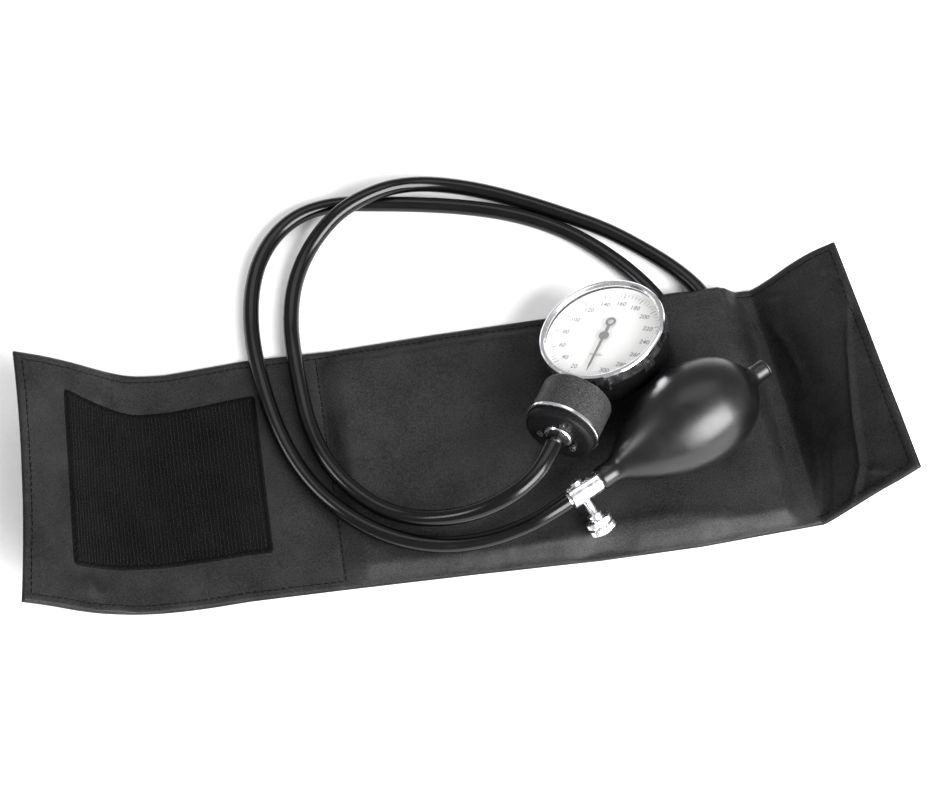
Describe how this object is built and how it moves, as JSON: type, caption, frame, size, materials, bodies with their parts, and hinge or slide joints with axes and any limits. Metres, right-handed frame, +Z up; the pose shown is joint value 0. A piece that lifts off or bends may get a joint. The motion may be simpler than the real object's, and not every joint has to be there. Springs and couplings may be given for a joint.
{
  "type": "aneroid blood pressure monitor, upper arm",
  "caption": "Open nylon arm cuff with a round dial gauge, rubber squeeze bulb with thumb-screw valve, and black rubber tubes looping back into the cuff.",
  "frame": {"origin": "on the table under the cuff, at the middle of its width and of its laid-out length: the underside of the loop patch", "axes": "+X along the cuff, from the hook patch's end to the pocket's end; +Y across the cuff, towards the edge where the tubes come out; +Z up"},
  "size_m": [0.427, 0.223, 0.0596],
  "materials": {
    "nylon": "satin woven nylon, charcoal",
    "hook_nylon": "ribbed field of stiff hooks",
    "loop_nylon": "brushed loops",
    "tube_rubber": "smooth, slightly glossy",
    "bulb_rubber": "satin",
    "bladder_rubber": "matt",
    "black_paint": "fine wrinkle enamel, semi-matt",
    "chrome_plate": "polished",
    "steel": "fine turned",
    "brass": "machined",
    "spring_bronze": "rolled",
    "clear_lens": "clear, polished",
    "dial_paint": "matt white enamel",
    "pointer_paint": "matt black"
  },
  "bodies": {
    "cuff_and_gauge": {"cuff_outer_panel": "nylon", "cuff_inner_panel": "nylon", "bladder": "bladder_rubber", "hook_patch": "hook_nylon", "loop_patch": "loop_nylon", "gauge_tube": "tube_rubber", "bulb_tube": "tube_rubber", "gauge_port_nozzle": "bladder_rubber", "bulb_port_nozzle": "bladder_rubber", "dial_case": "black_paint", "bezel_ring": "chrome_plate", "lens": "clear_lens", "dial_plate": "dial_paint", "movement_base": "brass", "movement_bridge": "brass", "case_screws": "steel", "hairspring": "spring_bronze", "neck_block": "black_paint", "drum_housing": "black_paint", "drum_ring": "chrome_plate", "cap_gasket": "bladder_rubber", "drum_end_cap": "black_paint", "end_cap_screws": "steel", "nipple": "chrome_plate", "nipple_nut": "chrome_plate", "capsule": "spring_bronze", "bulb_shell": "bulb_rubber", "intake_insert": "chrome_plate", "valve_body": "chrome_plate", "seat_plug": "chrome_plate", "outlet_seat": "brass", "stem_seal": "bladder_rubber"},
    "sector": {"sector_gear": "brass", "sector_arbor": "steel"},
    "pointer": {"pointer_staff": "steel", "pointer_hand": "pointer_paint"},
    "rod": {"push_rod": "steel"},
    "needle": {"valve_needle": "steel"},
    "knob": {"release_knob": "chrome_plate"},
    "outlet_flap": {"outlet_disc": "bladder_rubber"},
    "intake_flap": {"intake_disc": "bladder_rubber"}
  },
  "joints": [
    {"name": "rod_slide", "type": "slide", "parent": "cuff_and_gauge", "child": "rod", "axis": [0.5476, 0.8289, -0.1144], "range_m": [0, 0.00202], "stiffness_N_per_m": 40},
    {"name": "sector_turn", "type": "hinge", "parent": "cuff_and_gauge", "child": "sector", "pos_m": [0.0671, 0.01784, 0.03243], "axis": [-0.2854, 0.3136, 0.9056], "range_deg": [0, 28.23]},
    {"name": "pointer_spin", "type": "hinge", "parent": "cuff_and_gauge", "child": "pointer", "pos_m": [0.08145, 0.03346, 0.03254], "axis": [0.2854, -0.3136, -0.9056], "range_deg": [0, 338.7]},
    {"name": "needle_slide", "type": "slide", "parent": "cuff_and_gauge", "child": "needle", "axis": [0.412, -0.7433, -0.527], "range_m": [0, 0.00105]},
    {"name": "knob_turn", "type": "hinge", "parent": "needle", "child": "knob", "pos_m": [0.06037, -0.05051, 0.0189], "axis": [0.412, -0.7433, -0.527], "range_deg": [0, 540]},
    {"name": "outlet_lift", "type": "slide", "parent": "cuff_and_gauge", "child": "outlet_flap", "axis": [-0.9023, -0.4132, -0.1227], "range_m": [0, 0.0008], "stiffness_N_per_m": 5},
    {"name": "intake_lift", "type": "slide", "parent": "cuff_and_gauge", "child": "intake_flap", "axis": [-0.9023, -0.4132, -0.1227], "range_m": [0, 0.0008], "stiffness_N_per_m": 5}
  ],
  "couplings": [
    {"joint": "sector_turn", "follows": "rod_slide", "rad_per_m": 243.9},
    {"joint": "pointer_spin", "follows": "rod_slide", "rad_per_m": 2926.8},
    {"joint": "knob_turn", "follows": "needle_slide", "rad_per_m": 8975.9}
  ]
}
